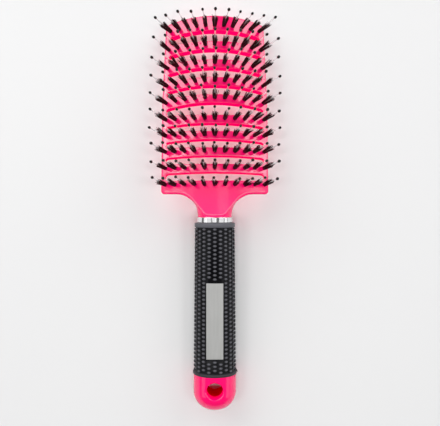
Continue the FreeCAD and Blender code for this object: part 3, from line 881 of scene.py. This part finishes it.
def set_out(graph, points, shape, rotation, scale=1.0, selection=True):
    """Copies of a shape on points, or on the selected ones."""
    return graph.add("GeometryNodeInstanceOnPoints", None, {
        "Points": points, "Selection": selection, "Instance": shape, "Rotation": rotation,
        "Scale": scale})["Instances"]


def tuft_tree(sizes):
    """Tufts of splayed, slightly bent bristles in a few loose strands each."""
    graph, inputs = geometry_graph("boar_tuft", sizes)
    full_turn = 2 * math.pi
    numbered = graph.add("GeometryNodeStoreNamedAttribute", {"data_type": "INT", "domain": "POINT"}, {
        "Geometry": seat_points(graph, inputs), "Name": "tuft", "Value": index_of(graph)})["Geometry"]
    roots = graph.add("GeometryNodeDuplicateElements", {"domain": "POINT"},
                      {"Geometry": numbered, "Amount": inputs["Bristles"]})["Geometry"]
    tuft, axis = stored(graph, "tuft", "INT"), stored(graph, "axis", "FLOAT_VECTOR")
    index, seed = index_of(graph), inputs["Seed"]

    turn = random(graph, 0.0, full_turn, seed, index)
    reach = random(graph, 0.0, 1.0, seed + 1, index).apply("SQRT") * inputs["Root radius"]
    flat = vector_of(graph, reach * turn.apply("COSINE"), reach * turn.apply("SINE"))
    offset = graph.add("FunctionNodeRotateVector", None,
                       {"Vector": flat, "Rotation": along(graph, axis)})["Vector"]
    strand_number = (turn * inputs["Strands"] / full_turn).apply("FLOOR")
    strand = random(graph, LEAST, MOST, seed + 2, tuft * inputs["Strands"] + strand_number)
    stray = random(graph, LEAST, MOST, seed + 3, index)
    direction = (axis + offset * (inputs["Splay"] / inputs["Root radius"])
                 + strand * inputs["Strand lean"] + stray * inputs["Stray"])
    placed = moved(graph, roots, offset - axis * inputs["Sink"])
    spin = vector_of(graph, z=random(graph, 0.0, full_turn, seed + 4, index))
    spun = graph.add("FunctionNodeRotateRotation", {"rotation_space": "LOCAL"}, {
        "Rotation": along(graph, direction),
        "Rotate By": graph.add("FunctionNodeEulerToRotation", None, {"Euler": spin})[0]})["Rotation"]

    cone = graph.add("GeometryNodeMeshCone", None, {
        "Vertices": 4, "Side Segments": 3, "Radius Bottom": inputs["Thickness"],
        "Radius Top": inputs["Thickness"] * inputs["Taper"], "Depth": 1.0})["Mesh"]
    height = height_of(graph)
    bristle = moved(graph, cone, vector_of(graph, height * height * inputs["Bend"]))
    share = random(graph, inputs["Shortest"], inputs["Longest"], seed + 5, index)
    size = vector_of(graph, 1.0, 1.0, inputs["Length"] * share)
    return close_graph(graph, set_out(graph, placed, bristle, spun, size), "boar_bristle")


def pin_direction(graph, inputs):
    """Direction of each pin: its tuft's axis with a small lean of its own."""
    lean = random(graph, LEAST, MOST, inputs["Seed"], index_of(graph)) * inputs["Lean"]
    return graph.add("ShaderNodeVectorMath", {"operation": "NORMALIZE"},
                     {0: stored(graph, "axis", "FLOAT_VECTOR") + lean})[0]


def pin_tree(sizes):
    """Slim pins that stand in the tufts' middles."""
    graph, inputs = geometry_graph("detangling_pin", sizes)
    shaft = graph.add("GeometryNodeMeshCone", None, {
        "Vertices": inputs["Sides"], "Side Segments": 1, "Radius Bottom": inputs["Radius"],
        "Radius Top": inputs["Radius"] * inputs["Taper"], "Depth": inputs["Length"]})["Mesh"]
    pins = set_out(graph, seat_points(graph, inputs), shaft, along(graph, pin_direction(graph, inputs)))
    return close_graph(graph, pins, "clear_nylon")


def ball_tree(sizes):
    """Rounded tips at the pins' ends, drawn out a little along the pin."""
    graph, inputs = geometry_graph("pin_ball", sizes)
    direction = pin_direction(graph, inputs)
    ends = moved(graph, seat_points(graph, inputs), direction * inputs["Length"])
    ball = graph.add("GeometryNodeMeshUVSphere", None, {
        "Segments": inputs["Sides"], "Rings": 9, "Radius": inputs["Radius"]})["Mesh"]
    size = random(graph, inputs["Smallest"], inputs["Largest"], inputs["Seed"] + 7, index_of(graph))
    stretched = vector_of(graph, size, size, size * inputs["Stretch"])
    balls = set_out(graph, ends, ball, along(graph, direction), stretched)
    return close_graph(graph, balls, "black_tips")


def row_seats(row):
    """Mesh of a row's tuft seats on the front face, with the tufts' direction as an attribute."""
    across = row.span * (np.arange(TUFTS_PER_ROW) / (TUFTS_PER_ROW - 1) - 0.5)
    station = row.line(across)
    lean = across / CROWN_RADIUS
    upright = np.sqrt(1 - lean ** 2)
    tilt = np.arcsin((station - BEND_STATION) / bend_reach(across))
    axes = np.column_stack([lean, upright * np.sin(tilt), upright * np.cos(tilt)])
    axes[:, 0] += row.fan * 2 * across / row.span + row.drift
    axes[:, 1] += row.rake
    axes /= np.linalg.norm(axes, axis=1)[:, None]
    points = np.column_stack([across, station, front_height(across, station)])
    seats = bpy.data.meshes.new(f"row_{row.number:02d}_seats")
    seats.from_pydata([tuple(p) for p in points], [], [])
    attribute = seats.attributes.new("axis", "FLOAT_VECTOR", "POINT")
    attribute.data.foreach_set("vector", axes.astype(np.float32).ravel())
    return seats


def make_rows(rows):
    """Tufts, pins and tips of every row, each kind one piece for each row."""
    kinds = (("boar_tufts", "bristle_tufts", "boar_bristle", tuft_tree(TUFT), TUFT),
             ("nylon_pins", "detangling_pins", "clear_nylon", pin_tree(PIN), PIN),
             ("ball_tips", "pin_ball_tips", "black_tips", ball_tree(TIP), TIP))
    for row in rows:
        seats = row_seats(row)
        for title, node, material, tree, sizes in kinds:
            mesh = grow(seats, tree, sizes | {"Seed": SEEDS_PER_ROW * row.number})
            show(f"{title}_row_{row.number:02d}", mesh, material, f"{node}_row_{row.number:02d}")


# Handle

def knob_tree(sizes):
    """Staggered rubber knobs round the sleeve, left out where the plate is let in."""
    graph, inputs = geometry_graph("grip_knob", sizes)
    highlight_from, highlight_to = 0.3, 0.95
    points = graph.add("GeometryNodePoints", None, {"Count": inputs["Columns"] * inputs["Knobs"]})[0]
    index = index_of(graph)
    column = index % inputs["Columns"]
    ring = (index / inputs["Columns"]).apply("FLOOR")
    turn = column * (2 * math.pi) / inputs["Columns"]
    station = inputs["Foot"] + (ring + (column + 1) % 2 * inputs["Stagger"]) * inputs["Pitch"]
    radius = inputs["Low radius"] - (station - inputs["Foot"]) * inputs["Taper"]
    sine, cosine = turn.apply("SINE"), turn.apply("COSINE")
    x, z = radius * sine, radius * cosine
    under = ((x.apply("ABSOLUTE") < inputs["Pad half width"]) * (z > 0.0)
             * (station > inputs["Pad foot"]) * (station < inputs["Pad top"]))
    placed = graph.add("GeometryNodeSetPosition", None, {
        "Geometry": points, "Position": vector_of(graph, x, station, z)})["Geometry"]
    turned = graph.add("FunctionNodeAxesToRotation", {"primary_axis": "Z", "secondary_axis": "Y"}, {
        "Primary Axis": vector_of(graph, sine, 0.0, cosine), "Secondary Axis": (0, 1, 0)})["Rotation"]

    ball = graph.add("GeometryNodeMeshUVSphere", None,
                     {"Segments": 12, "Rings": 7, "Radius": 1.0})["Mesh"]
    # Painted highlight: the knobs' tops are painted paler.
    painted_highlight = graph.add("ShaderNodeMapRange", None, {
        "Value": height_of(graph), "From Min": highlight_from, "From Max": highlight_to,
        "To Max": inputs["Highlight"]})["Result"]
    knob = graph.add("GeometryNodeStoreNamedAttribute", {"data_type": "FLOAT", "domain": "POINT"},
                     {"Geometry": ball, "Name": "painted_highlight", "Value": painted_highlight})["Geometry"]
    size = vector_of(graph, inputs["Half width"], inputs["Half length"], inputs["Height"])
    return close_graph(graph, set_out(graph, placed, knob, turned, size, 1 - under), "black_rubber")


def make_grip_sleeve():
    """Knobbed rubber sleeve with a smooth collar, a foot rim, the plate's pad and a moulding flash."""
    sides, seat_step, highlight_edge = 132, 0.02, 0.1
    ease, chamfer, support = 0.2, 0.3, 0.4
    foot, top = SLEEVE_FOOT, SLEEVE_TOP
    zone_foot, collar = foot + RIM_LENGTH, top - COLLAR_LENGTH
    low_root = SLEEVE_LOW_RADIUS - KNOB_HEIGHT
    top_root = SLEEVE_TOP_RADIUS - KNOB_HEIGHT
    plate_top = PLATE_FOOT + PLATE_LENGTH
    seat_foot, seat_end = PLATE_FOOT - SEAT_GAP, plate_top + SEAT_GAP

    profile = [(CORE_RADIUS, foot), (RIM_RADIUS - ease, foot), (RIM_RADIUS, foot + chamfer),
               (RIM_RADIUS, zone_foot - support), (RIM_RADIUS - chamfer, zone_foot),
               (low_root, zone_foot + ease)]
    for y in (zone_foot + support, seat_foot - seat_step, seat_foot, seat_end, seat_end + seat_step,
              collar - support):
        profile.append((np.interp(y, [zone_foot, collar], [low_root, top_root]), y))
    profile += [(top_root, collar - ease), (SLEEVE_TOP_RADIUS - chamfer, collar),
                (SLEEVE_TOP_RADIUS, collar + chamfer)]
    profile += rounded_top(SLEEVE_TOP_RADIUS, top, SLEEVE_EDGE, steps=4) + [(CORE_RADIUS, top)]
    tube = lathe("sleeve_tube", profile, sides)
    # Painted highlight: the collar and the foot rim are painted paler.
    painted_highlight = tube.attributes.new("painted_highlight", "FLOAT", "POINT")
    for vertex in tube.vertices:
        painted_highlight.data[vertex.index].value = np.interp(
            vertex.co.y, [zone_foot - highlight_edge, zone_foot + highlight_edge, collar - highlight_edge, collar],
            [RIM_HIGHLIGHT, 0, 0, 1])
        if seat_foot - seat_step / 2 < vertex.co.y < seat_end + seat_step / 2:
            vertex.co.z = min(vertex.co.z, PLATE_SEAT)

    pad_reach = PAD_MARGIN + KNOB_HALF_LENGTH
    knob = {
        "Columns": KNOB_COLUMNS, "Knobs": KNOBS_PER_COLUMN, "Foot": zone_foot + KNOB_END,
        "Pitch": (collar - zone_foot - 2 * KNOB_END) / (KNOBS_PER_COLUMN - KNOB_STAGGER),
        "Stagger": KNOB_STAGGER, "Low radius": low_root,
        "Taper": (low_root - top_root) / (collar - zone_foot), "Half width": KNOB_HALF_WIDTH,
        "Half length": KNOB_HALF_LENGTH, "Height": KNOB_HEIGHT, "Highlight": KNOB_HIGHLIGHT,
        "Pad half width": PLATE_WIDTH / 2 + PAD_KNOB_GAP, "Pad foot": PLATE_FOOT - pad_reach,
        "Pad top": plate_top + pad_reach}
    knobs = grow(bpy.data.meshes.new("sleeve_seats"), knob_tree(knob), knob)
    pad_half = PLATE_WIDTH / 2 + PAD_MARGIN
    pad = block("plate_pad", (-pad_half, PLATE_FOOT - PAD_MARGIN, PLATE_SEAT - PAD_DEPTH),
                (pad_half, plate_top + PAD_MARGIN, PLATE_SEAT + PAD_LIP), PAD_EDGE)
    flash = mesh_of("moulding_flash",
                    [(r, y, side * half) for r, y, half in FLASH_CORNERS for side in (-1, 1)],
                    [(0, 1, 3, 2), (0, 4, 5, 1), (2, 3, 5, 4), (0, 2, 4), (1, 5, 3)], smooth=False)
    sleeve = joined("knobbed_sleeve", [tube, knobs, pad, flash])
    show("knobbed_sleeve", sleeve, "black_rubber", "grip_sleeve")


def make_name_plate():
    """Bare bevelled plate on the sleeve's pad."""
    half, top = PLATE_WIDTH / 2, PLATE_FOOT + PLATE_LENGTH
    plate = block("bare_plate", (-half, PLATE_FOOT, PLATE_SEAT),
                  (half, top, PLATE_SEAT + PLATE_THICKNESS), PLATE_EDGE)
    show("bare_plate", plate, "silver_plate", "name_plate")


def make_neck_ring():
    """Chromed ring with rounded edges, and points on its wall that keep the wall's shading straight."""
    sides, support = 128, 1.2 * RING_EDGE
    foot, top = SLEEVE_TOP, NECK
    upper = rounded_top(RING_RADIUS, top, RING_EDGE, steps=6)
    lower = [(r, foot + top - y) for r, y in reversed(upper)]
    profile = [(RING_BORE, foot), *lower, (RING_RADIUS, foot + support), (RING_RADIUS, top - support),
               *upper, (RING_BORE, top)]
    show("chromed_ring", lathe("chromed_ring", profile, sides), "bright_chrome", "neck_ring")


def make_end_cap():
    """Rounded cap with the hang hole through it from front to back."""
    hole_sides, side_step, end_step = 48, 0.8, 0.6
    grid_foot, grid_step, margin = 0.5, 0.7, 0.35
    # Painted shade on the hang hole's wall, at its front and back edge: the wall darkens inward.
    edge_depths, hole_shade = (0.06, 0.2, 0.45, 0.8, 1.3), (-0.8, 4.2)
    turns = np.linspace(0, math.pi / 2, 15)
    flat = CAP_RADIUS - CAP_ROUNDING
    side = np.column_stack([flat + CAP_ROUNDING * np.sin(turns), CAP_ROUNDING * (1 - np.cos(turns))])
    corner = (CAP_RADIUS, SLEEVE_FOOT)
    right = np.vstack([side, spaced(side[-1], corner, side_step), [corner]])
    left = right[::-1] * (-1, 1)
    outline = np.vstack([right, spaced(right[-1], left[0], side_step), left,
                         spaced(left[-1], right[0], end_step)])
    around = 2 * math.pi * np.arange(hole_sides) / hole_sides
    hole = np.column_stack([HOLE_RADIUS * np.cos(around), HOLE_STATION + HOLE_RADIUS * np.sin(around)])
    rims = [Rim(outline, rounding=0.0, steps=0, extra=edge_depths),
            Rim(hole, HOLE_ROUNDING, steps=6, hole=True, shade=hole_shade)]
    reach = math.floor(CAP_RADIUS)
    filling = filled(grid((-reach, grid_foot), (reach, SLEEVE_FOOT), grid_step), margin, rims)

    def half_depth(plan):
        x, y = plan.T
        below = np.clip(CAP_ROUNDING - y, 0, CAP_ROUNDING)
        radius = flat + np.sqrt(CAP_ROUNDING ** 2 - below ** 2)
        return np.sqrt(np.clip(radius ** 2 - x ** 2, 0, None))

    def front(plan, drops):
        return np.column_stack([plan, half_depth(plan) - drops])

    def back(plan, drops):
        return np.column_stack([plan, drops - half_depth(plan)])

    show("hanging_cap", plan_solid("hanging_cap", rims, filling, front, back), "pink_abs", "end_cap")


def dress_hidden_nodes():
    """Materials of the CAD nodes that stay: the handle's core and the tuft anchors."""
    for name, node in frame["nodes"].items():
        if name == "handle_core" or name.startswith("tuft_anchors"):
            material = "core_abs" if name == "handle_core" else "anchor_wire"
            node.data.materials.clear()
            node.data.materials.append(MATERIALS[material])


# Stage, in metres

def make_floor():
    half = 3.0
    corners = [(-half, -half, 0), (half, -half, 0), (half, half, 0), (-half, half, 0)]
    mesh = bpy.data.meshes.new("table_top")
    mesh.from_pydata(corners, [], [(0, 1, 2, 3)])
    mesh.materials.append(MATERIALS["pale_floor"])
    floor = bpy.data.objects.new("table_top", mesh)
    scene.collection.objects.link(floor)


def softbox(name, place, width, height, radiance, mirrored=True, lighting=True):
    """Rectangular soft light with a given brightness, aimed at the head.

    A box that is not mirrored is a plain fill, and one that is not lighting is only a reflection."""
    head = Vector((0, 0.06, 0))
    lamp = bpy.data.lights.new(name, "AREA")
    lamp.shape = "RECTANGLE"
    lamp.size, lamp.size_y = width, height
    lamp.energy = radiance * math.pi * width * height
    light = bpy.data.objects.new(name, lamp)
    light.location = place
    light.rotation_euler = (head - Vector(place)).to_track_quat("-Z", "Y").to_euler()
    light.visible_camera = False
    light.visible_glossy = mirrored
    light.visible_diffuse = lighting
    scene.collection.objects.link(light)
    return light


def make_lights():
    """Softboxes beyond the head's top, boxes that only gloss mirrors, fills and a pale room.

    The head throws no shadow under the fills, so that the floor is pale through its vents."""
    softbox("left_softbox", (-0.58, 0.73, 0.68), width=1.22, height=0.95, radiance=2.3)
    softbox("right_softbox", (0.86, 0.73, 0.68), width=1.08, height=0.95, radiance=2.1)
    for name, place, width, height, radiance in (
            ("left_ceiling", (-0.17, 0.12, 1.2), 0.58, 0.9, 0.9),
            ("right_ceiling", (0.50, 0.12, 1.2), 0.40, 0.9, 0.8),
            ("left_band", (-0.95, 0.05, 1.1), 1.0, 0.9, 0.8),
            ("right_band", (1.05, 0.05, 1.1), 0.9, 0.9, 0.8),
            ("left_side", (-1.0, 0.05, 0.48), 1.6, 0.4, 1.0),
            ("right_side", (1.0, 0.05, 0.26), 1.6, 0.4, 1.0)):
        softbox(name, place, width, height, radiance, lighting=False)
    unshaded = bpy.data.collections.new("floor_under_vents")
    unshaded.objects.link(bpy.data.objects["head_frame_moulding"])
    unshaded.collection_objects[0].light_linking.link_state = "EXCLUDE"
    for name, place, width, height, radiance in (
            ("top_fill", (0.0, -0.29, 1.2), 0.40, 0.08, 64.0),
            ("left_fill", (-0.5, -0.12, 1.2), 0.20, 0.3, 12.5),
            ("right_fill", (0.5, -0.12, 1.2), 0.20, 0.3, 12.5)):
        fill = softbox(name, place, width, height, radiance, mirrored=False)
        fill.light_linking.blocker_collection = unshaded
    world = bpy.data.worlds.new("pale_room")
    world.use_nodes = True
    background = world.node_tree.nodes["Background"]
    background.inputs["Color"].default_value = (1.0, 1.0, 1.0, 1)
    background.inputs["Strength"].default_value = 0.12
    scene.world = world


def make_camera():
    """Camera over the neck, looking straight down on the bristle face, placed in the handle frame."""
    place, target = Vector((0, 126.5, 400)), Vector((3.22, 121.54, 0))
    data = bpy.data.cameras.new("photo_camera")
    data.sensor_width = 36
    data.lens = 52.8
    camera = bpy.data.objects.new("photo_camera", data)
    back = (place - target).normalized()
    right = Vector((0, 1, 0)).cross(back).normalized()
    turn = Matrix((right, back.cross(right), back)).transposed().to_4x4()
    camera.matrix_world = Matrix.Translation(LAY @ place) @ Matrix.Rotation(lying_turn, 4, "X") @ turn
    scene.collection.objects.link(camera)
    scene.camera = camera


rows = lay_out_rows()
make_head(rows)
make_rows(rows)
make_grip_sleeve()
make_name_plate()
make_neck_ring()
make_end_cap()
dress_hidden_nodes()
make_floor()
make_lights()
make_camera()
scene.view_settings.view_transform = "Standard"
